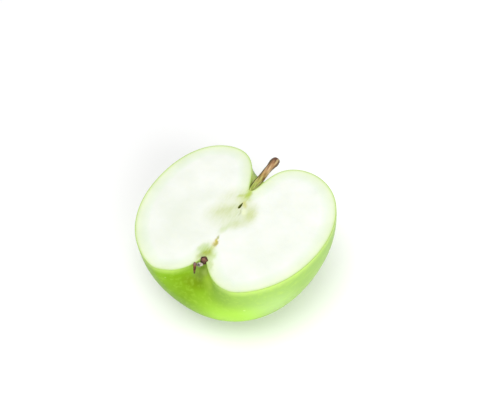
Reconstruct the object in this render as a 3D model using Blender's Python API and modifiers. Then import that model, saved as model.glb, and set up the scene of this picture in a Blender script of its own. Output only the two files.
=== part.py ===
"""Half of a green apple, cut from stem to blossom end and lying on its skin.

The cut face lies level and looks up. The core line runs along Y with the stem at
+Y and the dried calyx at -Y, and the half rests on a small flat spot at Z = 0.
Lengths are named in millimetres and turned to metres as each shape is built.
"""

import math
import random

import bmesh
import bpy
from mathutils import Vector

MM = 0.001

# How the half lies.
CUT_HEIGHT = 37.5  # the cut face above the surface that the half rests on
TOUCH_GAP = 0.3  # clearance between two pieces that meet

# Outline of the apple beside the core line: radius, and place along the core.
HOLLOW_Y = 14.9  # bottom of the stem hollow
HOLLOW_LEAN = math.radians(83)  # the wall leaves that bottom this far from the core line
HOLLOW_PULL = 3.0
SHOULDER_RADIUS = 16.9
SHOULDER_Y = 33.9
SHOULDER_PULL_IN = 14.6
SHOULDER_PULL_OUT = 12.0
GIRTH_RADIUS = 39.1
GIRTH_Y = 2.4
GIRTH_PULL_UP = 18.7
GIRTH_PULL_DOWN = 25.4
FOOT_RADIUS = 15.8
FOOT_Y = -34.2
FOOT_PULL_OUT = 5.0
FOOT_PULL_IN = 11.9
BASIN_Y = -22.1  # bottom of the calyx basin
BASIN_LEAN = math.radians(80)
BASIN_PULL = 1.1

# How the right lobe differs from the mean outline; the left one differs the other way.
LOBE = {
    "hollow_pull": 1.0,
    "shoulder_r": -1.0,
    "shoulder_y": -1.4,
    "shoulder_pull": -0.5,
    "girth_r": 0.3,
    "girth_y": -0.9,
    "girth_pull": 0.3,
    "foot_r": 0.8,
    "foot_pull": -1.1,
}
# How the underside differs from the mean outline.
BACK = {
    "shoulder_r": 5.0,
    "shoulder_y": 0.7,
    "girth_r": -1.2,
    "girth_y": -5.0,
    "girth_pull": 2.5,
    "foot_y": 1.0,
}

# Steps along each of the four stretches of the outline, and steps around the half.
OUTLINE_STEPS = (13, 16, 17, 12)
TURN_STEPS = 48

# Hollows that the knife opened on the cut face: centre, half sizes, turn about Z, and how
# much narrower the end toward the stem is.
SEED_CELL = {"at": (0.2, 6.4, 0.0), "half": (0.55, 1.75, 2.2), "turn": math.radians(-3), "taper": 0.5}
CALYX_TUBE = {"at": (0.5, -14.4, 0.1), "half": (0.75, 1.9, 0.75), "turn": math.radians(-9), "taper": 0.15}
HOLLOW_SEGMENTS = (16, 12)

# The slab that levels the skin into a small flat spot to rest on: side and thickness.
FLOOR_CUTTER = (60, 10)

# Stem: points along its middle (right, along the core, above the cut face) and radius.
STEM_ROUTE = (
    ((-0.45, 14.0, -1.30), 1.15),
    ((-0.25, 17.0, -1.10), 1.30),
    ((0.15, 21.0, -1.00), 1.50),
    ((0.60, 24.7, -1.00), 1.47),
    ((0.80, 28.4, -1.00), 1.42),
    ((1.10, 30.9, -1.00), 1.55),
    ((1.36, 32.9, -1.00), 1.83),
    ((1.50, 34.3, -1.00), 1.80),
    ((1.56, 35.0, -1.00), 1.60),
    ((1.60, 35.6, -1.00), 1.00),
)
STEM_SIDES = 28
STEM_RIDGES = 7
STEM_RIDGE_DEPTH = 0.05  # share of the radius

# Dried ring in the basin.
CUP_AT = (0.5, -23.8, -0.2)
CUP_TILT = math.radians(35)  # how far its mouth turns up from the core line
CUP_RADIUS = 1.5
CUP_BORE = 0.8
CUP_HEIGHT = 2.0
CUP_BORE_DEPTH = 0.5
CUP_LOBES = 5
CUP_LOBE = 0.08  # share of the radius
CUP_SEGMENTS = (25, 16)

# Dried stamens: a lump with short bristles, which lean outward by their spread.
TUFT_AT = (-0.05, -26.0, -0.35)
TUFT_HALF = Vector((1.2, 0.7, 0.6))
TUFT_HAIRS = 14
TUFT_HAIR_LENGTH = 1.3
TUFT_HAIR_RADIUS = 0.13
TUFT_HAIR_SIDES = 6
TUFT_SPREAD = (0.2, 0.75)

# Dried sepals: four points that steer each one's middle line, and its width at the root.
SEPAL_STEPS = 12
SEPAL_THICKNESS = 0.3
SEPAL_WAVE = 0.12
SEPAL_CURL = 0.15
SEPAL_TAPER = 0.65  # share of the width lost at the tip
SEPAL_SIDES = (-1, -0.5, 0, 0.5, 1)
SEPAL_FACING = Vector((0, 0.35, 1))  # the way its upper side looks
LONG_SEPAL_WIDTH = 1.3
SHORT_SEPAL_WIDTH = 0.9
LONG_SEPAL = ((-1.40, -26.6, 0.50), (-1.65, -27.3, 0.60), (-0.60, -29.0, 0.20), (0.05, -30.7, -0.60))
SHORT_SEPAL = ((0.35, -26.9, 0.60), (0.20, -27.3, 0.80), (-0.10, -27.8, 0.95), (-0.40, -28.2, 1.00))

# Looks: base colour and roughness.
FLESH_LOOK = ((0.86, 0.90, 0.78), 0.45)
BARK_LOOK = ((0.20, 0.12, 0.06), 0.8)
CALYX_LOOK = ((0.10, 0.05, 0.03), 0.9)
STAMEN_LOOK = ((0.40, 0.37, 0.32), 0.95)


def clear_scene():
    for old in list(bpy.data.objects):
        bpy.data.objects.remove(old, do_unlink=True)


def new_collection(name):
    collection = bpy.data.collections.new(name)
    bpy.context.scene.collection.children.link(collection)
    return collection


def material(name, color, roughness):
    made = bpy.data.materials.new(name)
    made.use_nodes = True
    shader = made.node_tree.nodes["Principled BSDF"]
    shader.inputs["Base Color"].default_value = (*color, 1.0)
    shader.inputs["Roughness"].default_value = roughness
    return made


def on_half(right, along, above):
    """A place given from the middle of the cut face, as world metres."""
    return Vector((right, along, above + CUT_HEIGHT)) * MM


def add_object(name, mesh, collection, look=None):
    made = bpy.data.objects.new(name, mesh)
    collection.objects.link(made)
    if look:
        mesh.materials.append(look)
    return made


def mesh_from(bm, name):
    bmesh.ops.recalc_face_normals(bm, faces=bm.faces)
    mesh = bpy.data.meshes.new(name)
    bm.to_mesh(mesh)
    bm.free()
    return mesh


def smooth(obj, sharp_angle=math.radians(40)):
    obj.data.shade_smooth()
    obj.data.set_sharp_from_angle(angle=sharp_angle)


def cut(obj, cutter):
    cutter.hide_render = True
    cutter.display_type = "WIRE"
    step = obj.modifiers.new(cutter.name, "BOOLEAN")
    step.operation = "DIFFERENCE"
    step.object = cutter


def bezier(start, pull_start, pull_end, end, steps):
    """Points along one cubic curve, without its last one."""
    points = []
    for i in range(steps):
        t = i / steps
        u = 1 - t
        point = start * u**3 + pull_start * 3 * u * u * t + pull_end * 3 * u * t * t + end * t**3
        points.append(point)
    return points


def outline(angle):
    """(radius, along) down the apple's outline at an angle around the core from the right lobe."""

    def here(value, name):
        """The mean value with what this side of the apple adds to it."""
        return value + math.cos(angle) * LOBE.get(name, 0) + math.sin(angle) ** 2 * BACK.get(name, 0)

    hollow = Vector((0, HOLLOW_Y))
    shoulder = Vector((here(SHOULDER_RADIUS, "shoulder_r"), here(SHOULDER_Y, "shoulder_y")))
    girth = Vector((here(GIRTH_RADIUS, "girth_r"), here(GIRTH_Y, "girth_y")))
    foot = Vector((here(FOOT_RADIUS, "foot_r"), here(FOOT_Y, "foot_y")))
    basin = Vector((0, BASIN_Y))
    out, up = Vector((1, 0)), Vector((0, 1))
    hollow_way = Vector((math.sin(HOLLOW_LEAN), math.cos(HOLLOW_LEAN)))
    basin_way = Vector((math.sin(BASIN_LEAN), -math.cos(BASIN_LEAN)))
    hollow_out = hollow + hollow_way * here(HOLLOW_PULL, "hollow_pull")
    shoulder_out = shoulder + out * here(SHOULDER_PULL_OUT, "shoulder_pull")
    girth_down = girth - up * here(GIRTH_PULL_DOWN, "girth_pull")
    foot_in = foot - out * here(FOOT_PULL_IN, "foot_pull")
    stretches = (
        (hollow, hollow_out, shoulder - out * SHOULDER_PULL_IN, shoulder),
        (shoulder, shoulder_out, girth + up * GIRTH_PULL_UP, girth),
        (girth, girth_down, foot + out * FOOT_PULL_OUT, foot),
        (foot, foot_in, basin + basin_way * BASIN_PULL, basin),
    )
    points = []
    for stretch, steps in zip(stretches, OUTLINE_STEPS):
        points += bezier(*stretch, steps)
    return points + [basin]


def make_flesh(collection, cutters, look):
    """The half fruit: outlines lofted around the core, closed by the flat cut face."""
    bm = bmesh.new()
    top = bm.verts.new(on_half(0, HOLLOW_Y, 0))
    bottom = bm.verts.new(on_half(0, BASIN_Y, 0))
    rows = []
    for step in range(TURN_STEPS + 1):
        angle = math.pi * step / TURN_STEPS
        row = [top]
        for radius, along in outline(angle)[1:-1]:
            place = on_half(radius * math.cos(angle), along, -radius * math.sin(angle))
            row.append(bm.verts.new(place))
        rows.append(row + [bottom])
    for row, after in zip(rows, rows[1:]):
        for i in range(len(row) - 1):
            corners = [row[i], row[i + 1], after[i + 1], after[i]]
            bm.faces.new(list(dict.fromkeys(corners)))
    bm.faces.new(rows[0] + rows[-1][-2:0:-1])
    flesh = add_object("apple_half", mesh_from(bm, "apple_half"), collection, look)
    cut(flesh, make_floor_cutter(cutters))
    cut(flesh, make_hollow_cutter("seed_cell_cutter", SEED_CELL, cutters))
    cut(flesh, make_hollow_cutter("calyx_tube_cutter", CALYX_TUBE, cutters))
    cut(flesh, make_stem("stem_socket_cutter", cutters, wider=TOUCH_GAP))
    cut(flesh, make_cup("cup_seat_cutter", cutters, wider=TOUCH_GAP))
    smooth(flesh)
    return flesh


def make_floor_cutter(collection):
    """A slab below the resting plane, which leaves the small flat spot."""
    bm = bmesh.new()
    side, thickness = FLOOR_CUTTER
    bmesh.ops.create_cube(bm, size=MM)
    bmesh.ops.scale(bm, vec=(side, side, thickness), verts=bm.verts)
    bmesh.ops.translate(bm, vec=(0, 0, -thickness / 2 * MM), verts=bm.verts)
    return add_object("floor_cutter", mesh_from(bm, "floor_cutter"), collection)


def make_hollow_cutter(name, hollow, collection):
    """A long egg shape that opens one of the core's hollows on the cut face."""
    bm = bmesh.new()
    around, down = HOLLOW_SEGMENTS
    bmesh.ops.create_uvsphere(bm, u_segments=around, v_segments=down, radius=1)
    for vert in bm.verts:
        vert.co.x *= 1 - hollow["taper"] * vert.co.y
    bmesh.ops.scale(bm, vec=Vector(hollow["half"]) * MM, verts=bm.verts)
    cutter = add_object(name, mesh_from(bm, name), collection)
    cutter.location = on_half(*hollow["at"])
    cutter.rotation_euler.z = hollow["turn"]
    return cutter


def curve_to_mesh(curve_object, name, collection, look):
    """The curve as a closed mesh in world places; the curve itself is removed."""
    graph = bpy.context.evaluated_depsgraph_get()
    mesh = bpy.data.meshes.new_from_object(curve_object.evaluated_get(graph))
    bm = bmesh.new()
    bm.from_mesh(mesh)
    bmesh.ops.remove_doubles(bm, verts=bm.verts, dist=1e-6)
    made = add_object(name, mesh_from(bm, name), collection, look)
    made.matrix_world = curve_object.matrix_world
    bpy.data.objects.remove(curve_object, do_unlink=True)
    bpy.data.meshes.remove(mesh)
    return made


def ridged_section(collection):
    """The stem's cross section: a circle of radius 1 mm with low ridges."""
    data = bpy.data.curves.new("stem_section", "CURVE")
    data.dimensions = "2D"
    data.fill_mode = "NONE"
    spline = data.splines.new("POLY")
    spline.points.add(STEM_SIDES - 1)
    for i, point in enumerate(spline.points):
        angle = 2 * math.pi * i / STEM_SIDES
        reach = MM * (1 + STEM_RIDGE_DEPTH * math.cos(STEM_RIDGES * angle))
        point.co = (reach * math.cos(angle), reach * math.sin(angle), 0, 1)
    spline.use_cyclic_u = True
    return add_object("stem_section", data, collection)


def make_stem(name, collection, look=None, wider=0.0):
    """The woody stem: a tapering ridged rod with a swollen, rounded tip."""
    section = ridged_section(collection)
    data = bpy.data.curves.new(name, "CURVE")
    data.dimensions = "3D"
    data.bevel_mode = "OBJECT"
    data.bevel_object = section
    data.resolution_u = 4
    data.use_fill_caps = True
    spline = data.splines.new("BEZIER")
    spline.bezier_points.add(len(STEM_ROUTE) - 1)
    for i, (point, (place, radius)) in enumerate(zip(spline.bezier_points, STEM_ROUTE)):
        right, along, above = place
        if i == 0:
            along -= wider
        point.co = on_half(right, along, above)
        point.radius = radius + wider
        point.handle_left_type = point.handle_right_type = "AUTO"
    rod = add_object(name + "_curve", data, collection)
    stem = curve_to_mesh(rod, name, collection, look)
    bpy.data.objects.remove(section, do_unlink=True)
    return stem


def make_cup(name, collection, look=None, wider=0.0):
    """The dried ring in the basin, or with a clearance the plain lump that seats it."""
    radius = CUP_RADIUS + wider
    dent_depth = 0 if wider else CUP_BORE_DEPTH
    bm = bmesh.new()
    around, down = CUP_SEGMENTS
    bmesh.ops.create_uvsphere(bm, u_segments=around, v_segments=down, radius=1)
    for vert in bm.verts:
        turn = math.atan2(vert.co.y, vert.co.x)
        reach = math.hypot(vert.co.x, vert.co.y)
        swell = 1 + CUP_LOBE * math.cos(CUP_LOBES * turn) * reach
        dent = max(0.0, 1 - (reach * radius / CUP_BORE) ** 2) if vert.co.z > 0 else 0.0
        vert.co.z = vert.co.z * (CUP_HEIGHT / 2 + wider) - dent * dent_depth
        vert.co.x *= radius * swell
        vert.co.y *= radius * swell
    bmesh.ops.scale(bm, vec=(MM, MM, MM), verts=bm.verts)
    cup = add_object(name, mesh_from(bm, name), collection, look)
    cup.location = on_half(*CUP_AT)
    cup.rotation_euler.x = math.radians(90) - CUP_TILT
    return cup


def make_hair(name, start, way, collection):
    """One bristle of the tuft: a thin cone from the tuft's middle outward."""
    bm = bmesh.new()
    bmesh.ops.create_cone(
        bm,
        cap_ends=True,
        segments=TUFT_HAIR_SIDES,
        radius1=TUFT_HAIR_RADIUS * MM,
        radius2=TUFT_HAIR_RADIUS * MM / 3,
        depth=TUFT_HAIR_LENGTH * MM,
    )
    bmesh.ops.translate(bm, vec=(0, 0, TUFT_HAIR_LENGTH * MM / 2), verts=bm.verts)
    hair = add_object(name, mesh_from(bm, name), collection)
    hair.location = start
    hair.rotation_euler = way.to_track_quat("Z", "Y").to_euler()
    return hair


def make_tuft(collection, look):
    """The dried stamens: one soft lump with short bristles fused on."""
    draw = random.Random(7)
    bm = bmesh.new()
    bmesh.ops.create_icosphere(bm, subdivisions=3, radius=1)
    bmesh.ops.scale(bm, vec=TUFT_HALF * MM, verts=bm.verts)
    tuft = add_object("calyx_tuft", mesh_from(bm, "calyx_tuft"), collection, look)
    tuft.location = on_half(*TUFT_AT)
    hairs = new_collection("hairs")
    for i in range(TUFT_HAIRS):
        turn = 2 * math.pi * (i + draw.uniform(-0.3, 0.3)) / TUFT_HAIRS
        spread = draw.uniform(*TUFT_SPREAD)
        way = Vector((math.sin(turn) * spread, -1, math.cos(turn) * spread))
        make_hair(f"hair_{i}", tuft.location, way, hairs)
    fuse = tuft.modifiers.new("hairs", "BOOLEAN")
    fuse.operation = "UNION"
    fuse.operand_type = "COLLECTION"
    fuse.collection = hairs
    bpy.context.view_layer.update()
    graph = bpy.context.evaluated_depsgraph_get()
    fused = bpy.data.meshes.new_from_object(tuft.evaluated_get(graph))
    tuft.modifiers.remove(fuse)
    tuft.data = fused
    for hair in list(hairs.objects):
        bpy.data.objects.remove(hair, do_unlink=True)
    bpy.data.collections.remove(hairs)
    smooth(tuft)
    return tuft


def make_sepal(name, route, width, collection, look):
    """One dried sepal: a narrow wavy leaf along its route, pointed at the tip."""
    start, pull_start, pull_end, end = (Vector(point) for point in route)
    middle = bezier(start, pull_start, pull_end, end, SEPAL_STEPS) + [end]
    bm = bmesh.new()
    rows = []
    for i, place in enumerate(middle):
        share = i / SEPAL_STEPS
        before, after = middle[max(i - 1, 0)], middle[min(i + 1, SEPAL_STEPS)]
        across = (after - before).cross(SEPAL_FACING).normalized()
        half = width / 2 * (1 - SEPAL_TAPER * share**2)
        lift = Vector((0, 0, SEPAL_WAVE * math.sin(3 * math.pi * share)))
        row = []
        for side in SEPAL_SIDES:
            curl = Vector((0, 0, SEPAL_CURL * side * side))
            row.append(bm.verts.new(on_half(*(place + across * half * side + lift + curl))))
        rows.append(row)
    for row, after in zip(rows, rows[1:]):
        for i in range(len(row) - 1):
            bm.faces.new((row[i], row[i + 1], after[i + 1], after[i]))
    bmesh.ops.triangulate(bm, faces=bm.faces)
    sepal = add_object(name, mesh_from(bm, name), collection, look)
    wall = sepal.modifiers.new("thickness", "SOLIDIFY")
    wall.thickness = SEPAL_THICKNESS * MM
    wall.offset = 0
    smooth(sepal)
    return sepal


def build():
    clear_scene()
    apple = new_collection("apple_half")
    cutters = new_collection("cutters")
    cutters.hide_render = True
    flesh_look = material("apple flesh and skin", *FLESH_LOOK)
    stem_look = material("stem bark", *BARK_LOOK)
    brown_look = material("dried calyx", *CALYX_LOOK)
    grey_look = material("dried stamens", *STAMEN_LOOK)
    make_flesh(apple, cutters, flesh_look)
    smooth(make_stem("stem", apple, stem_look))
    smooth(make_cup("calyx_cup", apple, brown_look))
    make_tuft(apple, grey_look)
    make_sepal("sepal_long", LONG_SEPAL, LONG_SEPAL_WIDTH, apple, brown_look)
    make_sepal("sepal_short", SHORT_SEPAL, SHORT_SEPAL_WIDTH, apple, brown_look)


build()
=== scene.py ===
import math
import random

import bpy
from mathutils import Euler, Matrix, Vector, kdtree, noise


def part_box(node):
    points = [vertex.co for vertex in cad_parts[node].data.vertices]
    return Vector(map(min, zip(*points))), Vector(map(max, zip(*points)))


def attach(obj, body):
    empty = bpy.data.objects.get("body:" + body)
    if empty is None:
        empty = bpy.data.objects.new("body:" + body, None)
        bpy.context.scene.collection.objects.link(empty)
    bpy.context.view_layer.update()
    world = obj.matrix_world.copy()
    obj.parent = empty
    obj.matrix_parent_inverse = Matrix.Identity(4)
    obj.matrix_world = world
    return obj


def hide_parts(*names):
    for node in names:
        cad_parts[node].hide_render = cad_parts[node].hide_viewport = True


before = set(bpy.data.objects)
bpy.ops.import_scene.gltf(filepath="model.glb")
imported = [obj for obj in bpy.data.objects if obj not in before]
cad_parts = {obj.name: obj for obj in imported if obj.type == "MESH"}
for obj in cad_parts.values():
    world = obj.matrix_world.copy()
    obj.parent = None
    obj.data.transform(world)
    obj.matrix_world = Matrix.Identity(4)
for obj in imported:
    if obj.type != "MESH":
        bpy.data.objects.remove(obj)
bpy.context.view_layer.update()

bpy.ops.object.select_all(action="DESELECT")

# Camera
# It stands where the photograph was taken from, seen from the half as it lies: a little
# more than 0.4 m away, to the right of the core line and 45 degrees up, tilted slightly.

MM = 0.001
VIEW_AZIMUTH = math.radians(33.5)
VIEW_ELEVATION = math.radians(44.7)
VIEW_ROLL = math.radians(-9.17)
VIEW_DISTANCE = 429.0
VIEW_AIM = (4.39, 7.21, 41.12)
VIEW_LENS = 80.4

view_turn = Euler((math.pi / 2 - VIEW_ELEVATION, 0, VIEW_AZIMUTH)).to_matrix()
view_turn = view_turn @ Euler((0, 0, VIEW_ROLL)).to_matrix()
camera_data = bpy.data.cameras.new("camera")
camera_data.lens = VIEW_LENS
camera_data.sensor_width = 36
camera_data.clip_start = 0.01
camera = bpy.data.objects.new("camera", camera_data)
bpy.context.scene.collection.objects.link(camera)
camera.matrix_world = view_turn.to_4x4()
camera.location = (Vector(VIEW_AIM) + view_turn @ Vector((0, 0, VIEW_DISTANCE))) * MM
bpy.context.scene.camera = camera

# Flesh and skin
# Half of a crisp green apple: white juicy flesh under a thin waxy skin, grown as one piece
# around the core line. The knife left the flat face, the opened seed cell and tube.

CUT_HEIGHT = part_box("apple_half")[1].z / MM

# Outline of the apple beside the core line, in millimetres: radius, place along the core.
HOLLOW_Y, HOLLOW_LEAN, HOLLOW_PULL = 14.9, math.radians(83), 3.0
SHOULDER_RADIUS, SHOULDER_Y = 16.9, 33.9
SHOULDER_PULL_IN, SHOULDER_PULL_OUT = 14.6, 12.0
GIRTH_RADIUS, GIRTH_Y = 39.1, 2.4
GIRTH_PULL_UP, GIRTH_PULL_DOWN = 18.7, 25.4
FOOT_RADIUS, FOOT_Y = 15.8, -34.2
FOOT_PULL_OUT, FOOT_PULL_IN = 5.0, 11.9
BASIN_Y, BASIN_LEAN, BASIN_PULL = -22.1, math.radians(80), 1.1
# What the right lobe adds to these and the left one takes off, and what the underside adds.
LOBE = {
    "hollow_pull": 1.0,
    "shoulder_r": -1.0,
    "shoulder_y": -1.4,
    "shoulder_pull": -0.5,
    "girth_r": 0.3,
    "girth_y": -0.9,
    "girth_pull": 0.3,
    "foot_r": 0.8,
    "foot_pull": -1.1,
}
BACK = {
    "shoulder_r": 5.0,
    "shoulder_y": 0.7,
    "girth_r": -1.2,
    "girth_y": -5.0,
    "girth_pull": 2.5,
    "foot_y": 1.0,
}
OUTLINE_STEPS = (28, 36, 40, 28)
TURN_STEPS = 192
SKIN_WAVES = ((14.0, 0.09), (4.0, 0.02))  # spacing and depth of the skin's slight unevenness
SKIN_WAVE_FADE = 4.0  # the waves die out within this distance of the core line
EDGE_STEPS = 12  # points taken along each edge of the cut's outline
FACE_GRID = 0.8
FACE_DIP_DEPTH, FACE_DIP_WIDTH = 0.2, 9.0
FACE_GRAIN, FACE_GRAIN_APART = 0.04, 2.2
FLAT_NORMAL = 0.99  # a face whose normal points up by more than this is flat
FACE_SLACK = 0.01  # how far below the cut the middle of one of its faces may lie
PLANE_SLACK = 0.001  # how near a cutting plane a point counts as on it
HOLLOW_REACH = 3.0  # other faces this near the middle of a hollow are the hollow's wall
SEED_CELL = {
    "at": (0.2, 6.4, 0.0),
    "half": (0.55, 1.75, 2.2),
    "turn": math.radians(-3),
    "taper": 0.5,
}
CALYX_TUBE = {
    "at": (0.5, -14.4, 0.1),
    "half": (0.75, 1.9, 0.75),
    "turn": math.radians(-9),
    "taper": 0.15,
}


def on_half(right, along, above):
    """A place given in millimetres from the middle of the cut face, in metres."""
    return Vector((right, along, above + CUT_HEIGHT)) * MM


def bezier(start, pull_start, pull_end, end, steps):
    """Points along one cubic curve, without its last one."""
    points = []
    for i in range(steps):
        t = i / steps
        u = 1 - t
        point = start * u**3 + pull_start * 3 * u * u * t + pull_end * 3 * u * t * t + end * t**3
        points.append(point)
    return points


def outline(angle):
    """(radius, along) down the outline at an angle around the core from the right lobe."""

    def here(value, name):
        return value + math.cos(angle) * LOBE.get(name, 0) + math.sin(angle) ** 2 * BACK.get(name, 0)

    hollow = Vector((0, HOLLOW_Y))
    shoulder = Vector((here(SHOULDER_RADIUS, "shoulder_r"), here(SHOULDER_Y, "shoulder_y")))
    girth = Vector((here(GIRTH_RADIUS, "girth_r"), here(GIRTH_Y, "girth_y")))
    foot = Vector((here(FOOT_RADIUS, "foot_r"), here(FOOT_Y, "foot_y")))
    basin = Vector((0, BASIN_Y))
    out, up = Vector((1, 0)), Vector((0, 1))
    hollow_way = Vector((math.sin(HOLLOW_LEAN), math.cos(HOLLOW_LEAN)))
    basin_way = Vector((math.sin(BASIN_LEAN), -math.cos(BASIN_LEAN)))
    hollow_out = hollow + hollow_way * here(HOLLOW_PULL, "hollow_pull")
    shoulder_out = shoulder + out * here(SHOULDER_PULL_OUT, "shoulder_pull")
    girth_down = girth - up * here(GIRTH_PULL_DOWN, "girth_pull")
    foot_in = foot - out * here(FOOT_PULL_IN, "foot_pull")
    stretches = (
        (hollow, hollow_out, shoulder - out * SHOULDER_PULL_IN, shoulder),
        (shoulder, shoulder_out, girth + up * GIRTH_PULL_UP, girth),
        (girth, girth_down, foot + out * FOOT_PULL_OUT, foot),
        (foot, foot_in, basin + basin_way * BASIN_PULL, basin),
    )
    points = []
    for stretch, steps in zip(stretches, OUTLINE_STEPS):
        points += bezier(*stretch, steps)
    return points + [basin]


def add_ball(name, segments, rings):
    """A new ball of radius 1 m whose points are then moved to the piece's own shape."""
    bpy.ops.object.select_all(action="DESELECT")
    bpy.ops.mesh.primitive_uv_sphere_add(segments=segments, ring_count=rings, radius=1)
    ball = bpy.context.object
    ball.name = ball.data.name = name
    return ball


def ball_place(point, rings):
    """(ring counted from the north pole, angle around) of one point of a new ball."""
    ring = round(math.acos(max(-1.0, min(1.0, point.z))) / math.pi * rings)
    return ring, math.atan2(point.y, point.x)


def edit(obj):
    """Opens obj for editing by its faces."""
    bpy.context.view_layer.objects.active = obj
    bpy.ops.object.mode_set(mode="EDIT")
    bpy.ops.mesh.select_mode(type="FACE")


def select_faces(obj, wanted):
    """Selects, in object mode, only the faces for which wanted(face) is true."""
    for face in obj.data.polygons:
        face.select = wanted(face)
    for edge in obj.data.edges:
        edge.select = False
    for vert in obj.data.vertices:
        vert.select = False


def apply_all(obj):
    """Applies the modifiers of obj in their order."""
    bpy.context.view_layer.objects.active = obj
    for step in list(obj.modifiers):
        bpy.ops.object.modifier_apply(modifier=step.name)


def cut_away(obj, hollow):
    """Cuts one egg-shaped hollow out of obj and removes the cutter."""
    cutter = add_ball("cutter", 24, 16)
    for vert in cutter.data.vertices:
        vert.co.x *= 1 - hollow["taper"] * vert.co.y
    cutter.scale = Vector(hollow["half"]) * MM
    cutter.rotation_euler.z = hollow["turn"]
    cutter.location = on_half(*hollow["at"])
    step = obj.modifiers.new("hollow", "BOOLEAN")
    step.operation = "DIFFERENCE"
    step.object = cutter
    apply_all(obj)
    bpy.data.objects.remove(cutter, do_unlink=True)


def shape_apple(apple, rings):
    """Moves the ball's points onto the outlines, each sunk a little by the skin's waves."""
    outlines = {}
    for vert in apple.data.vertices:
        ring, angle = ball_place(vert.co, rings)
        if angle not in outlines:
            outlines[angle] = outline(angle)
        radius, along = outlines[angle][ring]
        place = Vector((radius * math.cos(angle), along, -radius * math.sin(angle)))
        sink = sum(depth * (1 + noise.noise(place / spacing)) for spacing, depth in SKIN_WAVES)
        place -= place.normalized() * sink * min(1.0, radius / SKIN_WAVE_FADE)
        vert.co = on_half(*place)


def on_cut(face):
    """Whether a face lies in the flat cut."""
    return face.normal.z > FLAT_NORMAL and face.center.z > on_half(0, 0, -FACE_SLACK).z


def grid_cut_face(apple):
    """Slices the flat face into small squares, with the skin hidden."""
    select_faces(apple, on_cut)
    edit(apple)
    bpy.ops.mesh.hide(unselected=True)
    low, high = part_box("apple_half")
    for axis in (0, 1):
        across = Vector((axis == 0, axis == 1, 0))
        steps = int((high[axis] - low[axis]) / (FACE_GRID * MM))
        for i in range(1, steps + 1):
            bpy.ops.mesh.select_all(action="SELECT")
            place = low + across * i * FACE_GRID * MM
            bpy.ops.mesh.bisect(plane_co=place, plane_no=across, threshold=PLANE_SLACK * MM)
    bpy.ops.mesh.reveal(select=False)
    bpy.ops.object.mode_set(mode="OBJECT")


RINGS = sum(OUTLINE_STEPS)
apple = add_ball("apple_flesh_and_skin", TURN_STEPS, RINGS)
shape_apple(apple, RINGS)
edit(apple)
for plane, side in ((on_half(0, 0, 0), 1), (Vector((0, 0, 0)), -1)):
    bpy.ops.mesh.select_all(action="SELECT")
    bpy.ops.mesh.bisect(
        plane_co=plane,
        plane_no=(0, 0, side),
        use_fill=True,
        clear_outer=True,
        threshold=PLANE_SLACK * MM,
    )
bpy.ops.mesh.select_all(action="SELECT")
bpy.ops.mesh.normals_make_consistent(inside=False)
bpy.ops.object.mode_set(mode="OBJECT")
# Points all along the cut's outline, to measure how deep under the skin the flesh lies.
cut_z = on_half(0, 0, 0).z
skin_edge = []
for edge in apple.data.edges:
    start, end = (apple.data.vertices[i].co for i in edge.vertices)
    if max(abs(start.z - cut_z), abs(end.z - cut_z)) < PLANE_SLACK * MM:
        skin_edge += [start.lerp(end, i / EDGE_STEPS) for i in range(EDGE_STEPS)]
cut_away(apple, SEED_CELL)
cut_away(apple, CALYX_TUBE)
grid_cut_face(apple)

edge_tree = kdtree.KDTree(len(skin_edge))
for i, place in enumerate(skin_edge):
    edge_tree.insert(place, i)
edge_tree.balance()
under_skin = apple.data.attributes.new("under_skin", "FLOAT", "POINT")
face_points = set()
for face in apple.data.polygons:
    if on_cut(face):
        face.material_index = 1
        face_points.update(face.vertices)
    elif (face.center - on_half(*SEED_CELL["at"])).length < HOLLOW_REACH * MM:
        face.material_index = 2
    elif (face.center - on_half(*CALYX_TUBE["at"])).length < HOLLOW_REACH * MM:
        face.material_index = 1
        face_points.update(face.vertices)
for i in face_points:
    vert = apple.data.vertices[i]
    depth = edge_tree.find(Vector((vert.co.x, vert.co.y, cut_z)))[2] / MM
    under_skin.data[i].value = depth
    from_core = Vector((vert.co.x, vert.co.y)).length / MM
    dip = FACE_DIP_DEPTH * math.exp(-((from_core / FACE_DIP_WIDTH) ** 2))
    grain = FACE_GRAIN * (1 + noise.noise(vert.co / (FACE_GRAIN_APART * MM)))
    vert.co.z -= (dip + grain) * MM * min(1.0, depth)
apple.data.shade_smooth()
bpy.ops.object.select_all(action="DESELECT")
apple.select_set(True)
bpy.context.view_layer.objects.active = apple
bpy.ops.object.shade_smooth_by_angle(angle=math.radians(35))


def linear(code):
    """A colour written as sRGB hex, as linear red, green, blue and alpha."""
    colour = []
    for i in (1, 3, 5):
        part = int(code[i:i + 2], 16) / 255
        colour.append(part / 12.92 if part <= 0.04045 else ((part + 0.055) / 1.055) ** 2.4)
    return (*colour, 1.0)


def add_node(tree, kind, sockets=None, stops=None, **settings):
    """One new node with its settings, socket values or links, and colour stops."""
    made = tree.nodes.new(kind)
    for name, value in settings.items():
        setattr(made, name, value)
    for key, value in (sockets or {}).items():
        if isinstance(value, bpy.types.NodeSocket):
            tree.links.new(value, made.inputs[key])
        else:
            made.inputs[key].default_value = value
    if stops:
        ramp = made.color_ramp
        while len(ramp.elements) < len(stops):
            ramp.elements.new(1.0)
        for element, (position, code) in zip(ramp.elements, stops):
            element.position = position
            element.color = linear(code)
    return made


def new_material(name):
    """A material with an empty tree, and its Principled shader wired to the output."""
    made = bpy.data.materials.new(name)
    made.use_nodes = True
    tree = made.node_tree
    tree.nodes.clear()
    shader = add_node(tree, "ShaderNodeBsdfPrincipled")
    add_node(tree, "ShaderNodeOutputMaterial", {"Surface": shader.outputs[0]})
    return made, tree, shader


def noise_lumps(tree, coords, apart, detail):
    """Noise with lumps so many millimetres apart, as the outputs Fac and Color."""
    values = {"Vector": coords, "Scale": 1 / (apart * MM), "Detail": detail}
    return add_node(tree, "ShaderNodeTexNoise", values).outputs


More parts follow.
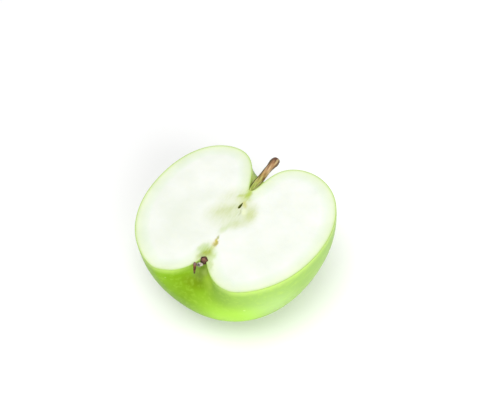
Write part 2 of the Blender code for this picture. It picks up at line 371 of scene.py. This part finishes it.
def noise_fibres(tree, coords, apart, detail, turn=0.0):
    """Noise drawn out into fibres, spaced by so many millimetres along each axis."""
    scale = [1 / (step * MM) for step in apart]
    values = {"Vector": coords, "Rotation": (0, 0, turn), "Scale": scale}
    drawn = add_node(tree, "ShaderNodeMapping", values).outputs[0]
    values = {"Vector": drawn, "Scale": 1.0, "Detail": detail}
    return add_node(tree, "ShaderNodeTexNoise", values).outputs["Fac"]


def ranged(tree, value, low, high, to_low=0.0, to_high=1.0, kind="LINEAR"):
    """A value between low and high, rescaled to lie between to_low and to_high."""
    values = {"Value": value, "From Min": low, "From Max": high, "To Min": to_low, "To Max": to_high}
    return add_node(tree, "ShaderNodeMapRange", values, interpolation_type=kind).outputs[0]


def times(tree, first, second):
    """The product of two values."""
    return add_node(tree, "ShaderNodeMath", {0: first, 1: second}, operation="MULTIPLY").outputs[0]


def colour_at(tree, value, stops):
    """The colour at a value between 0 and 1 along the stops."""
    return add_node(tree, "ShaderNodeValToRGB", {0: value}, stops=stops).outputs["Color"]


def mixed(tree, share, first, second, blend="MIX"):
    """The first colour with a share of the second blended in."""
    values = {0: share, 6: first, 7: second}
    return add_node(tree, "ShaderNodeMix", values, data_type="RGBA", blend_type=blend).outputs[2]


def tinted(tree, base, factor, strength, code):
    """base mixed toward a colour by factor times strength."""
    return mixed(tree, times(tree, factor, strength), base, linear(code))


def patch(tree, coords, at, half, turn=0.0, core=0.2):
    """1 inside a soft-edged egg, 0 outside; places and half sizes in millimetres."""
    values = {
        "Vector": coords,
        "Location": on_half(*at),
        "Rotation": (0, 0, turn),
        "Scale": Vector(half) * MM,
    }
    local = add_node(tree, "ShaderNodeMapping", values, vector_type="TEXTURE").outputs[0]
    reach = add_node(tree, "ShaderNodeVectorMath", {0: local}, operation="LENGTH").outputs["Value"]
    return ranged(tree, reach, core, 1.0, 1.0, 0.0, "SMOOTHSTEP")


def add_relief(tree, shader, height, strength, depth):
    """Fine relief on the surface, up to so many millimetres deep."""
    values = {"Height": height, "Strength": strength, "Distance": depth * MM}
    bump = add_node(tree, "ShaderNodeBump", values)
    tree.links.new(bump.outputs[0], shader.inputs["Normal"])


# Cut apple flesh: crisp water-filled cells, white with a faint green-grey cast, lime just
# under the skin and yellow-green round the core; moist, so it shines softly and light
# sinks in a little.
# Greyer green over the middle of each lobe: partly the flesh's own faint green-grey cast, partly painted
# shade, a little darker on the left lobe.
LOBE_TINTS_AND_PAINTED_SHADE = (
    # what, at, half sizes, turn in degrees, strength, share that is full, colour
    ("left lobe", (-18, -9), (27, 20), -85, 0.30, 0.0, "#ccd5bf"),
    ("right lobe", (20, -15), (23, 12), 65, 0.30, 0.0, "#d3dbc9"),
)
CORE_TINTS = (
    # what, at, half sizes, turn in degrees, strength, share that is full, colour
    ("veil", (-1.0, 1.5), (14.0, 11.5), 40, 0.90, 0.0, "#cad3ac"),
    ("upper veil", (-5.5, 10.0), (7.5, 6.0), 60, 0.65, 0.0, "#ccd4b0"),
    ("left zone", (-6.5, 0.5), (8.0, 6.0), 45, 0.40, 0.0, "#c6cf9f"),
    ("left band", (-3.5, 3.0), (7.5, 3.0), 45, 0.55, 0.0, "#bdc78c"),
    ("right zone", (6.0, 3.2), (8.0, 4.2), -75, 0.80, 0.0, "#c0cb88"),
    ("right foot", (3.2, -3.0), (5.5, 3.6), 40, 0.65, 0.0, "#c3ce99"),
    ("low band", (0.0, -6.5), (5.5, 2.2), 75, 0.85, 0.0, "#c6d4a6"),
    ("stem glow", (-0.2, 10.8), (7.2, 4.6), -75, 0.90, 0.0, "#c0cc88"),
    ("stem tissue", (0.4, 12.8), (4.4, 1.9), -80, 1.00, 0.1, "#abc052"),
    ("stem streak", (-1.8, 11.2), (2.8, 1.2), 30, 0.80, 0.0, "#b4c36c"),
    ("slit rim", (0.2, 6.2), (2.9, 1.3), -83, 0.60, 0.4, "#d2d6a8"),
    ("tan patch", (1.6, 7.4), (3.2, 1.6), -67, 1.00, 0.1, "#c4c67c"),
    ("cream spot", (3.1, 3.6), (2.6, 1.6), -72, 0.95, 0.2, "#dde3c0"),
    ("line", (1.6, 3.2), (2.8, 0.6), -85, 0.65, 0.0, "#a3ab74"),
    ("tail", (-0.1, -12.1), (2.3, 0.9), -82, 0.95, 0.1, "#a0a65c"),
    ("spot rim", (0.2, -15.0), (3.4, 1.8), -77, 0.70, 0.2, "#dccdac"),
    ("pale yellow", (0.2, -17.3), (2.4, 1.4), -77, 0.90, 0.0, "#c2c76e"),
    ("brown spot", (0.5, -14.6), (2.5, 1.3), -77, 1.00, 0.4, "#b6ac44"),
    ("tube glow", (-1.3, -19.2), (6.6, 5.2), 85, 0.85, 0.0, "#bfd096"),
    ("right tissue", (2.3, -20.8), (4.0, 2.5), -70, 0.85, 0.0, "#b7cd80"),
    ("tube tissue", (-0.3, -20.3), (3.7, 3.2), -80, 1.00, 0.1, "#9eb03f"),
    ("left tissue", (-2.8, -18.4), (3.8, 2.6), 80, 0.70, 0.0, "#b0c87a"),
    ("right basin edge", (3.4, -24.8), (5.5, 2.0), -54, 0.80, 0.1, "#b6c985"),
    ("left basin edge", (-2.0, -22.8), (3.2, 1.8), 78, 0.65, 0.0, "#acbb66"),
)
FIBRE_TURN = math.radians(-27)
TINT_WANDER = 1.6  # how far the tints' edges are moved about, in millimetres
# How far lime still shows through the flesh at depths under the skin, in millimetres.
LIME_DEPTH = 6.0
LIME_STOPS = (
    (0.0, "#98b850"),
    (0.035, "#c9e58e"),
    (0.075, "#e1f1ba"),
    (0.14, "#edf8d3"),
    (0.21, "#f3fbe0"),
    (0.3, "#f5fce6"),
    (0.5, "#f6fced"),
    (0.75, "#f9fef6"),
    (1.0, "#ffffff"),
)


def flesh_material():
    """Cut flesh: clouded white, lime under the skin, tinted round the core, and moist."""
    made, tree, shader = new_material("crisp cut apple flesh")
    coords = add_node(tree, "ShaderNodeTexCoord").outputs["Object"]
    # Cloudy patches 9 mm apart, where the flesh holds more or less air.
    cloud = noise_lumps(tree, coords, 9, 3.0)["Fac"]
    base = colour_at(tree, cloud, ((0.3, "#e0e4da"), (0.7, "#e8eae4")))
    # The lobes' greyer middles, partly painted shade.
    for what, at, half, turn, strength, core, code in LOBE_TINTS_AND_PAINTED_SHADE:
        spread = patch(tree, coords, (*at, 0), (*half, max(half)), math.radians(turn), core)
        base = tinted(tree, base, spread, strength, code)
    # Under the skin: a thin line of cut skin, then lime that fades out.
    depth = add_node(tree, "ShaderNodeAttribute", attribute_name="under_skin").outputs["Fac"]
    lime = colour_at(tree, ranged(tree, depth, 0.0, LIME_DEPTH), LIME_STOPS)
    base = mixed(tree, 1.0, base, lime, "MULTIPLY")
    # The tints round the core wander by about 1 mm at their edges and are drawn in fine
    # fibres 0.6 mm apart, as tissue is.
    wander = noise_lumps(tree, coords, 1.8, 4.0)["Color"]
    values = {0: wander, 1: (0.5, 0.5, 0.5)}
    shift = add_node(tree, "ShaderNodeVectorMath", values, operation="SUBTRACT").outputs[0]
    values = {0: shift, 1: (TINT_WANDER * MM, TINT_WANDER * MM, 0), 2: coords}
    moved = add_node(tree, "ShaderNodeVectorMath", values, operation="MULTIPLY_ADD").outputs[0]
    thread = noise_fibres(tree, coords, (0.6, 3, 3), 3.0, FIBRE_TURN)
    mottle = ranged(tree, thread, 0.3, 0.7, 0.7, 1.15)
    for what, at, half, turn, strength, core, code in CORE_TINTS:
        spread = patch(tree, moved, (*at, 0), (*half, max(half)), math.radians(turn), core)
        base = tinted(tree, base, times(tree, spread, mottle), strength, code)
    tree.links.new(base, shader.inputs["Base Color"])
    shader.inputs["Subsurface Weight"].default_value = 0.25
    shader.inputs["Subsurface Radius"].default_value = (1.0, 0.9, 0.6)
    shader.inputs["Subsurface Scale"].default_value = 1.2 * MM
    # Cell grain 0.35 mm across, drawn coarser than the real cells so that it shows.
    grain = noise_lumps(tree, coords, 0.7, 3.0)["Fac"]
    tree.links.new(ranged(tree, grain, 0.0, 1.0, 0.34, 0.52), shader.inputs["Roughness"])
    add_relief(tree, shader, grain, 0.25, 0.12)
    shader.inputs["IOR"].default_value = 1.36
    return made


SKIN_FADES = (
    # what, axis, where it starts and is full in millimetres, strength, colour
    ("painted sheen on the right side", "X", 2, 30, 0.80, "#8cac5d"),
    ("painted glow under the cut", "Z", CUT_HEIGHT - 3, CUT_HEIGHT, 0.70, "#abc867"),
)
SKIN_PATCHES = (
    # what, at, half sizes, strength, share that is full, colour
    # Partly the hollow's own yellow-green, partly painted light that lifts the shade inside the stem
    # hollow.
    ("stem hollow colour and painted light", (0, 20, 0), (10, 14, 60), 0.90, 0.4, "#d0e650"),
    # Painted light: light bounced up from the floor onto the underside.
    ("painted floor bounce on the foot", (17, -33, -20), (26, 12, 14), 0.95, 0.3, "#9aca36"),
    # Painted shade: the darker olive below the basin and down its slope.
    ("painted shade below the basin", (-8, -28, -16), (18, 16, 16), 0.60, 0.2, "#668b0a"),
    ("painted shade on the basin slope", (-4, -30, -6), (9, 7, 12), 0.60, 0.2, "#648606"),
    # Partly the basin's own grey-olive stain, partly painted shade in the hollow.
    ("basin", (0.5, -27.5, -3), (4.5, 4.5, 9), 0.65, 0.2, "#687634"),
    # Painted light on the basin's right wall, lifting its shade.
    ("painted light on the basin wall", (5.5, -28, -3), (5, 6, 10), 0.80, 0.2, "#a2c23e"),
    # Painted shade on the slope under the calyx.
    ("slope shade", (-0.5, -31.1, -5.5), (7, 3, 4.5), 0.65, 0.2, "#5d7400"),
    # Partly a greyish stain on the lip, partly a painted highlight.
    ("basin lip stain and painted highlight", (2.6, -27, -2.2), (3.2, 1.8, 3), 0.60, 0.3, "#9fb35c"),
    # Painted light: floor bounce and a pale sheen on the lower right.
    ("painted sheen on the pale foot", (29, -25, -14), (18, 14, 12), 0.45, 0.1, "#a8ca7c"),
)


def skin_material():
    """Apple skin: a thin waxed cuticle over green cells, smooth and glossy, with pale pores."""
    made, tree, shader = new_material("waxy green apple skin")
    coords = add_node(tree, "ShaderNodeTexCoord").outputs["Object"]
    # Deeper and paler green in clouds 16 mm apart.
    cloud = noise_lumps(tree, coords, 16, 4.0)["Fac"]
    base = colour_at(tree, cloud, ((0.3, "#729c0b"), (0.7, "#83ad20")))
    place = add_node(tree, "ShaderNodeSeparateXYZ", {0: coords}).outputs
    # Painted light: paler toward the right lobe as a painted sheen, leaving the left in painted shade,
    # and lime-yellow just below the cut as a painted glow.
    for what, axis, start, end, strength, code in SKIN_FADES:
        share = ranged(tree, place[axis], start * MM, end * MM, kind="SMOOTHSTEP")
        base = tinted(tree, base, share, strength, code)
    for what, at, half, strength, core, code in SKIN_PATCHES:
        base = tinted(tree, base, patch(tree, coords, at, half, 0.0, core), strength, code)
    # Fine streaks that run from stem to calyx, about 1.5 mm apart.
    streak = noise_fibres(tree, coords, (1.5, 14, 1.5), 3.0)
    base = tinted(tree, base, ranged(tree, streak, 0.5, 0.75), 0.25, "#a9cc4c")
    # Pores: pale dots under 1 mm across, about 6 mm apart.
    pores = add_node(tree, "ShaderNodeTexVoronoi", {"Vector": coords, "Scale": 1 / (6 * MM)})
    dot = ranged(tree, pores.outputs["Distance"], 0.04, 0.09, 1.0, 0.0)
    base = tinted(tree, base, dot, 0.4, "#cfdf98")
    tree.links.new(base, shader.inputs["Base Color"])
    shader.inputs["Roughness"].default_value = 0.38
    shader.inputs["IOR"].default_value = 1.4
    shader.inputs["Specular IOR Level"].default_value = 0.12
    shader.inputs["Subsurface Weight"].default_value = 0.12
    shader.inputs["Subsurface Radius"].default_value = (0.6, 1.0, 0.2)
    shader.inputs["Subsurface Scale"].default_value = 1.0 * MM
    # Peel texture 1 mm across and very shallow.
    add_relief(tree, shader, noise_lumps(tree, coords, 1.0, 2.0)["Fac"], 0.12, 0.08)
    return made


def cell_material():
    """Wall of the opened seed cell: thin horny tissue, dark olive that is partly painted shade of the
    deep slit, slightly shiny.
    """
    made, tree, shader = new_material("horny seed cell wall")
    coords = add_node(tree, "ShaderNodeTexCoord").outputs["Object"]
    fibre = noise_lumps(tree, coords, 0.6, 3.0)["Fac"]
    base = colour_at(tree, fibre, ((0.3, "#5a6420"), (0.7, "#8a9440")))
    tree.links.new(base, shader.inputs["Base Color"])
    shader.inputs["Roughness"].default_value = 0.4
    return made


apple.data.materials.append(skin_material())
apple.data.materials.append(flesh_material())
apple.data.materials.append(cell_material())
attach(apple, "root")
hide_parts("apple_half")

# Stem
# The woody stalk that the apple hung by, still green where it leaves the fruit and dry
# brown bark above, swollen at the tip where it broke from the twig.

STEM_ROUTE = (
    # right, along the core, above the cut face, radius
    (-0.45, 14.0, -1.30, 1.15),
    (-0.25, 17.0, -1.10, 1.30),
    (0.15, 21.0, -1.00, 1.50),
    (0.60, 24.7, -1.00, 1.47),
    (0.80, 28.4, -1.00, 1.42),
    (1.10, 30.9, -1.00, 1.55),
    (1.36, 32.9, -1.00, 1.83),
    (1.50, 34.3, -1.00, 1.80),
    (1.56, 35.0, -1.00, 1.60),
    (1.60, 35.6, -1.00, 1.00),
)
STEM_RIDGES, STEM_RIDGE_DEPTH = 7, 0.05
STEM_SEGMENTS, STEM_RINGS = 48, 120
STEM_SINK = 0.03  # share of the radius by which the bark lies deeper, before its flakes
# Bark flakes: depth of the large and the fine ones, how often they come round and how far
# apart they are along the stem.
FLAKE_LARGE, FLAKE_FINE = 0.05, 0.03
FLAKE_ROUND, FLAKE_APART = 2, 1.6
STEM_SHADE_TURN = math.radians(209)  # the way round, from the right, to the painted shade line


def along_route(route, share):
    """The point at a share of the route, smoothly between its own points."""
    reach = share * (len(route) - 1)
    i = min(int(reach), len(route) - 2)
    t = reach - i
    before, start = route[max(i - 1, 0)], route[i]
    end, after = route[i + 1], route[min(i + 2, len(route) - 1)]
    values = []
    for a, b, c, d in zip(before, start, end, after):
        values.append(b + 0.5 * t * (c - a + t * (2 * a - 5 * b + 4 * c - d + t * (3 * (b - c) + d - a))))
    return values


def shape_stem(stem):
    """Draws the ball out along the route, with ridges, bark flakes and closed ends."""
    shade_side = stem.data.attributes.new("shade_side", "FLOAT", "POINT")
    for vert in stem.data.vertices:
        ring, angle = ball_place(vert.co, STEM_RINGS)
        share = 1 - ring / STEM_RINGS
        right, along, above, radius = along_route(STEM_ROUTE, share)
        if ring in (0, STEM_RINGS):
            radius = 0
        ridge = 1 + STEM_RIDGE_DEPTH * math.cos(STEM_RIDGES * angle)
        around = (math.cos(angle) * FLAKE_ROUND, math.sin(angle) * FLAKE_ROUND)
        place = Vector((*around, along / FLAKE_APART))
        flake = FLAKE_LARGE * noise.noise(place) + FLAKE_FINE * noise.noise(place * 3)
        reach = radius * (ridge - STEM_SINK + flake)
        vert.co = on_half(right + reach * math.cos(angle), along, above - reach * math.sin(angle))
        shade_side.data[vert.index].value = math.cos(angle - STEM_SHADE_TURN)


stem = add_ball("stem_bark", STEM_SEGMENTS, STEM_RINGS)
shape_stem(stem)
stem.data.shade_smooth()


# Colours of the bark from foot to tip, and those of its side toward the right lobe, whose pale stops are
# partly painted light and highlight.
BARK_STOPS = (
    (0.0, "#80902a"),
    (0.2, "#90a044"),
    (0.35, "#a09a4c"),
    (0.5, "#a6864a"),
    (0.65, "#ac8862"),
    (0.82, "#9c744c"),
    (0.92, "#64402f"),
    (1.0, "#4c3026"),
)
BARK_SIDE_STOPS_WITH_HIGHLIGHT = (
    (0.25, "#d8cba6"),
    (0.4, "#6e5426"),
    (0.5, "#8c7450"),
    (0.6, "#c0a890"),
    (0.75, "#5c4228"),
)


def bark_material():
    """Apple stalk: dry ridged bark, matt, olive at the foot, tan above, near black at the tip."""
    made, tree, shader = new_material("apple stalk bark")
    coords = add_node(tree, "ShaderNodeTexCoord").outputs["Object"]
    along = add_node(tree, "ShaderNodeSeparateXYZ", {0: coords}).outputs["Y"]
    rise = ranged(tree, along, STEM_ROUTE[0][1] * MM, STEM_ROUTE[-1][1] * MM)
    # Blotches 1.5 mm apart blur where one colour gives way to the next.
    blur = ranged(tree, noise_lumps(tree, coords, 1.5, 3.0)["Fac"], 0.0, 1.0, -0.12, 0.12)
    rise = add_node(tree, "ShaderNodeMath", {0: rise, 1: blur}, operation="ADD").outputs[0]
    base = colour_at(tree, rise, BARK_STOPS)
    # Long fibres about 0.7 mm apart.
    fibre = noise_fibres(tree, coords, (0.7, 6, 0.7), 4.0)
    base = tinted(tree, base, ranged(tree, fibre, 0.5, 0.64), 0.65, "#5c4020")
    base = tinted(tree, base, ranged(tree, fibre, 0.46, 0.36), 0.45, "#d6c590")
    bruise = patch(tree, coords, (1.6, 23.2, -0.8), (0.9, 2.0, 1.2))
    base = tinted(tree, base, bruise, 0.8, "#5e4014")
    # Painted shade: a dark line along the upper left of the stem, where it lies in the shadow gap beside
    # the left lobe's wall.
    side = add_node(tree, "ShaderNodeAttribute", attribute_name="shade_side").outputs["Fac"]
    painted_shade_line = ranged(tree, side, 0.62, 0.86, kind="SMOOTHSTEP")
    base = tinted(tree, base, painted_shade_line, 0.85, "#3f3812")
    # The opposite side, toward the right lobe, is pale at the foot and brown near the tip; the pale is
    # partly painted light and a painted highlight.
    edge = ranged(tree, side, -0.45, -0.9, kind="SMOOTHSTEP")
    base = mixed(tree, times(tree, edge, 0.75), base, colour_at(tree, rise, BARK_SIDE_STOPS_WITH_HIGHLIGHT))
    tree.links.new(base, shader.inputs["Base Color"])
    shader.inputs["Roughness"].default_value = 0.7
    add_relief(tree, shader, fibre, 0.6, 0.2)
    return made


stem.data.materials.append(bark_material())
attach(stem, "root")
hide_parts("stem")

# Calyx cup
# The dried ring of the flower at the bottom of the basin, a hard dark brown knot with a
# small pinkish hole, grown to the fruit.

CUP_AT = (0.5, -23.8, -0.2)
CUP_TILT = math.radians(35)
CUP_RADIUS, CUP_BORE = 1.5, 0.8
CUP_HEIGHT, CUP_BORE_DEPTH = 2.0, 0.5
CUP_LOBES, CUP_LOBE = 5, 0.08
CUP_ROUGH, CUP_ROUGH_RATE = 0.07, 3.5
CUP_SEGMENTS, CUP_RINGS = 50, 36


def shape_cup(cup):
    """Turns the ball into a short lobed knot with a hole in its outer end, tilted upward."""
    turn = Euler((math.radians(90) - CUP_TILT, 0, 0)).to_matrix()
    for vert in cup.data.vertices:
        angle = math.atan2(vert.co.y, vert.co.x)
        reach = math.hypot(vert.co.x, vert.co.y)
        swell = 1 + CUP_LOBE * math.cos(CUP_LOBES * angle) * reach
        dent = max(0.0, 1 - (reach * CUP_RADIUS / CUP_BORE) ** 2) if vert.co.z > 0 else 0.0
        rough = 1 + CUP_ROUGH * noise.noise(vert.co * CUP_ROUGH_RATE)
        height = vert.co.z * CUP_HEIGHT / 2 - dent * CUP_BORE_DEPTH
        side = CUP_RADIUS * swell * rough
        place = turn @ Vector((vert.co.x * side, vert.co.y * side, height))
        vert.co = on_half(*(Vector(CUP_AT) + place))


cup = add_ball("calyx_ring", CUP_SEGMENTS, CUP_RINGS)
shape_cup(cup)
cup.data.shade_smooth()


def dried_material(name, dark, light, spacing, spots=()):
    """Dry brown flower tissue: matt and fibrous, mottled between two browns, with spots."""
    made, tree, shader = new_material(name)
    coords = add_node(tree, "ShaderNodeTexCoord").outputs["Object"]
    mottle = noise_lumps(tree, coords, spacing, 4.0)["Fac"]
    base = colour_at(tree, mottle, ((0.38, dark), (0.68, light)))
    for at, half, strength, code in spots:
        base = tinted(tree, base, patch(tree, coords, at, (half, half, half)), strength, code)
    tree.links.new(base, shader.inputs["Base Color"])
    shader.inputs["Roughness"].default_value = 0.8
    add_relief(tree, shader, mottle, 0.7, 0.15)
    return made


# Spots: at, half size, strength, colour.
CUP_SPOTS = (((0.6, -24.6, 0.8), 1.2, 0.9, "#9c6c5c"),)
cup.data.materials.append(dried_material("dry calyx knot", "#2c1604", "#64402c", 0.8, CUP_SPOTS))
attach(cup, "root")
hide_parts("calyx_cup")

# Stamen tuft
# The dried stamens and down of the flower: a soft grey-beige tuft of short bristles that
# spring from the cup.

TUFT_AT = (-0.05, -26.0, -0.35)
TUFT_HALF = (1.2, 0.7, 0.6)
TUFT_LUMPS, TUFT_LUMP_RATE = 0.15, 2
TUFT_HAIRS = 60
HAIR_LENGTH, HAIR_SHORTEST = 1.3, 0.75
HAIR_RADIUS, HAIR_SIDES = 0.07, 6
HAIR_SPREAD = 0.75
tuft_draw = random.Random(7)

tuft = add_ball("stamen_tuft", 24, 16)
for vert in tuft.data.vertices:
    lump = 1 + TUFT_LUMPS * noise.noise(vert.co * TUFT_LUMP_RATE)
    vert.co = on_half(*(Vector(TUFT_AT) + vert.co * Vector(TUFT_HALF) * lump))
hairs = []
for i in range(TUFT_HAIRS):
    turn = 2 * math.pi * tuft_draw.random()
    spread = HAIR_SPREAD * math.sqrt(tuft_draw.random())
    way = Vector((math.sin(turn) * spread, -1, math.cos(turn) * spread)).normalized()
    length = HAIR_LENGTH * tuft_draw.uniform(HAIR_SHORTEST, 1.0)
    bpy.ops.object.select_all(action="DESELECT")
    bpy.ops.mesh.primitive_cone_add(
        vertices=HAIR_SIDES,
        radius1=HAIR_RADIUS * MM,
        radius2=HAIR_RADIUS * MM / 3,
        depth=length * MM,
        location=on_half(*(Vector(TUFT_AT) + way * length / 2)),
        rotation=way.to_track_quat("Z", "Y").to_euler(),
    )
    hairs.append(bpy.context.object)
bpy.ops.object.select_all(action="DESELECT")
for hair in hairs:
    hair.select_set(True)
tuft.select_set(True)
bpy.context.view_layer.objects.active = tuft
bpy.ops.object.join()
bpy.ops.object.shade_smooth_by_angle(angle=math.radians(50))
tuft.data.materials.append(dried_material("dry stamen down", "#8d8476", "#cfc8ba", 0.5))
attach(tuft, "root")
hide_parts("calyx_tuft")

# Sepals
# Two dried leaves of the flower's crown: thin, curled and brittle. The long brown one
# hangs out over the basin, the short dark grey one lies beside the tuft.

SEPAL_THICKNESS, SEPAL_WAVE, SEPAL_CURL = 0.3, 0.12, 0.15
SEPAL_WALL = 0.8  # share of the thickness that the flat leaf is given before it is rounded
SEPAL_TAPER, SEPAL_EDGE = 0.65, 0.12  # how much narrower the tip is, how uneven the edge is
SEPALS = {
    "sepal_long": {
        "route": (
            (-1.40, -26.6, 0.50),
            (-1.65, -27.3, 0.60),
            (-0.60, -29.0, 0.20),
            (0.05, -30.7, -0.60),
        ),
        "width": 1.3,
        "dark": "#2e1c06",
        "light": "#84532a",
        "spots": (
            # A pink-lilac spot near the base: partly the leaf's own tint, partly a painted highlight.
            ((-1.4, -27.2, 0.6), 0.9, 0.7, "#8d6c70"),
            ((0.0, -30.5, -0.5), 1.5, 0.8, "#3c3408"),
        ),
    },
    "sepal_short": {
        "route": (
            (0.35, -26.9, 0.60),
            (0.20, -27.3, 0.80),
            (-0.10, -27.8, 0.95),
            (-0.40, -28.2, 1.00),
        ),
        "width": 0.9,
        "dark": "#3b3833",
        "light": "#6c6860",
        "spots": (),
    },
}
SEPAL_STEPS = 36
SEPAL_SIDES = 8


def shape_sepal(leaf, route, width):
    """Lays the flat grid along its route: tapered, waved along it and curled across."""
    middle = bezier(*route, SEPAL_STEPS) + [route[3]]
    for vert in leaf.data.vertices:
        i = round((vert.co.x + 0.5) * SEPAL_STEPS)
        side = vert.co.y * 2
        share = i / SEPAL_STEPS
        before, after = middle[max(i - 1, 0)], middle[min(i + 1, SEPAL_STEPS)]
        across = (after - before).cross(Vector((0, 0.35, 1))).normalized()
        uneven = 1 + SEPAL_EDGE * noise.noise(Vector((share * 9, side, 0)))
        half = width / 2 * (1 - SEPAL_TAPER * share**2) * uneven
        lift = SEPAL_WAVE * math.sin(3 * math.pi * share) + SEPAL_CURL * side * side
        vert.co = on_half(*(middle[i] + across * half * side + Vector((0, 0, lift))))


for node, look in SEPALS.items():
    bpy.ops.object.select_all(action="DESELECT")
    bpy.ops.mesh.primitive_grid_add(x_subdivisions=SEPAL_STEPS, y_subdivisions=SEPAL_SIDES, size=1)
    leaf = bpy.context.object
    leaf.name = leaf.data.name = "dried_" + node
    shape_sepal(leaf, [Vector(point) for point in look["route"]], look["width"])
    wall = leaf.modifiers.new("thickness", "SOLIDIFY")
    wall.thickness = SEPAL_THICKNESS * MM * SEPAL_WALL
    wall.offset = 0
    round_edge = leaf.modifiers.new("round edge", "SUBSURF")
    round_edge.levels = round_edge.render_levels = 1
    apply_all(leaf)
    leaf.data.shade_smooth()
    leaf_name = "dry " + node.replace("_", " ")
    dry_leaf = dried_material(leaf_name, look["dark"], look["light"], 0.7, look["spots"])
    leaf.data.materials.append(dry_leaf)
    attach(leaf, "root")
    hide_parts(node)

# Floor and light
# A plain white floor, a large soft lamp above, another low on the right, and even white
# light from all round, as in a white studio tent.

FLOOR_SIZE = 6
TENT_LIGHT = 0.6
LAMPS = (
    # name, place in metres, size, power
    ("lamp above", (0.1, -0.25, 1.0), 0.8, 4.7),
    ("lamp front", (0.64, -0.52, 0.34), 0.7, 7.0),
)

bpy.ops.object.select_all(action="DESELECT")
bpy.ops.mesh.primitive_plane_add(size=FLOOR_SIZE)
floor = bpy.context.object
floor.name = "floor"
floor_look, _, floor_shader = new_material("matt white board")
floor_shader.inputs["Base Color"].default_value = linear("#fdfdfd")
floor_shader.inputs["Roughness"].default_value = 0.7
floor.data.materials.append(floor_look)

for name, place, size, power in LAMPS:
    lamp_data = bpy.data.lights.new(name, "AREA")
    lamp_data.shape = "DISK"
    lamp_data.size = size
    lamp_data.energy = power
    lamp = bpy.data.objects.new(name, lamp_data)
    bpy.context.scene.collection.objects.link(lamp)
    lamp.location = place
    lamp.rotation_euler = (on_half(0, 0, 0) - Vector(place)).to_track_quat("-Z", "Y").to_euler()

world = bpy.data.worlds.new("white tent")
bpy.context.scene.world = world
world.use_nodes = True
background = world.node_tree.nodes["Background"]
background.inputs["Color"].default_value = (1, 1, 1, 1)
background.inputs["Strength"].default_value = TENT_LIGHT
bpy.context.scene.view_settings.view_transform = "Standard"
